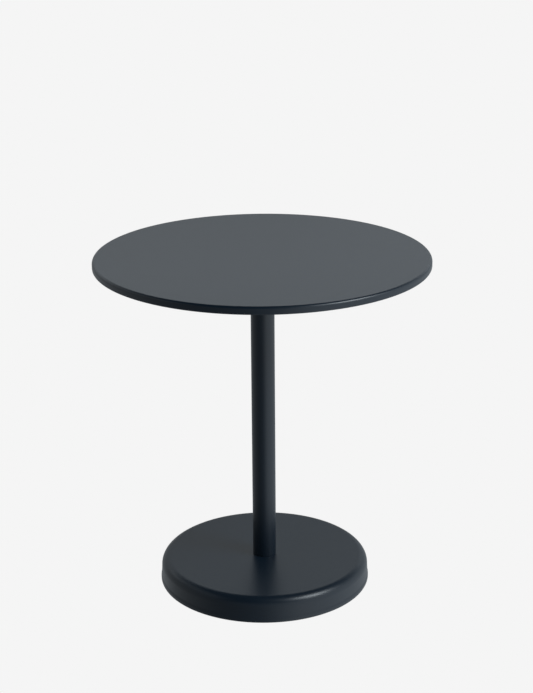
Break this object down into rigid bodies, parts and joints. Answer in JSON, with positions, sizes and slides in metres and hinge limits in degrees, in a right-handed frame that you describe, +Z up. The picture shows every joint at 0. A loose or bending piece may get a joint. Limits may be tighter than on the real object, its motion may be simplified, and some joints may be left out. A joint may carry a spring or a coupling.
{
  "type": "bistro table",
  "caption": "Round pedestal table with a thin turned-down metal top, a slim tube column and a weighted round base on levelling feet.",
  "frame": {"origin": "on the floor at the middle of the base, on the column's axis", "axes": "+Z up along the column; the feet lie on the diagonals between +X and +Y"},
  "size_m": [0.6999, 0.7, 0.73],
  "materials": {
    "powder_coat": "satin powder coat",
    "zinc_steel": "bright zinc plate",
    "machined_steel": "turned, oiled",
    "cast_iron": "sand cast, black primer",
    "foot_nylon": "moulded matt"
  },
  "bodies": {
    "table": {"ballast_plate": "cast_iron", "base_cover": "powder_coat", "base_spigot": "machined_steel", "column_tube": "powder_coat", "spigot_weld": "machined_steel", "table_top": "powder_coat", "tie_rod": "zinc_steel", "tie_rod_nut": "zinc_steel", "tie_rod_washer": "zinc_steel", "top_plate": "powder_coat", "top_plate_screws": "zinc_steel", "top_rib_1": "powder_coat", "top_rib_2": "powder_coat", "top_rib_3": "powder_coat", "top_rib_4": "powder_coat", "top_spigot": "machined_steel", "weld_bosses": "powder_coat"},
    "foot_1_pad": {"foot_pad_1": "foot_nylon"},
    "foot_1_stud": {"foot_stud_1": "zinc_steel"},
    "foot_2_pad": {"foot_pad_2": "foot_nylon"},
    "foot_2_stud": {"foot_stud_2": "zinc_steel"},
    "foot_3_pad": {"foot_pad_3": "foot_nylon"},
    "foot_3_stud": {"foot_stud_3": "zinc_steel"},
    "foot_4_pad": {"foot_pad_4": "foot_nylon"},
    "foot_4_stud": {"foot_stud_4": "zinc_steel"}
  },
  "joints": [
    {"name": "foot_1_lift", "type": "slide", "parent": "table", "child": "foot_1_pad", "axis": [0, 0, -1], "range_m": [0, 0.01]},
    {"name": "foot_1_turn", "type": "hinge", "parent": "foot_1_pad", "child": "foot_1_stud", "pos_m": [0.11314, 0.11314, 0], "axis": [0, 0, -1], "range_deg": [0, 2880]},
    {"name": "foot_2_lift", "type": "slide", "parent": "table", "child": "foot_2_pad", "axis": [0, 0, -1], "range_m": [0, 0.01]},
    {"name": "foot_2_turn", "type": "hinge", "parent": "foot_2_pad", "child": "foot_2_stud", "pos_m": [-0.11314, 0.11314, 0], "axis": [0, 0, -1], "range_deg": [0, 2880]},
    {"name": "foot_3_lift", "type": "slide", "parent": "table", "child": "foot_3_pad", "axis": [0, 0, -1], "range_m": [0, 0.01]},
    {"name": "foot_3_turn", "type": "hinge", "parent": "foot_3_pad", "child": "foot_3_stud", "pos_m": [-0.11314, -0.11314, 0], "axis": [0, 0, -1], "range_deg": [0, 2880]},
    {"name": "foot_4_lift", "type": "slide", "parent": "table", "child": "foot_4_pad", "axis": [0, 0, -1], "range_m": [0, 0.01]},
    {"name": "foot_4_turn", "type": "hinge", "parent": "foot_4_pad", "child": "foot_4_stud", "pos_m": [0.11314, -0.11314, 0], "axis": [0, 0, -1], "range_deg": [0, 2880]}
  ],
  "couplings": [
    {"joint": "foot_1_lift", "follows": "foot_1_turn", "m_per_rad": 0.00019894},
    {"joint": "foot_2_lift", "follows": "foot_2_turn", "m_per_rad": 0.00019894},
    {"joint": "foot_3_lift", "follows": "foot_3_turn", "m_per_rad": 0.00019894},
    {"joint": "foot_4_lift", "follows": "foot_4_turn", "m_per_rad": 0.00019894}
  ]
}
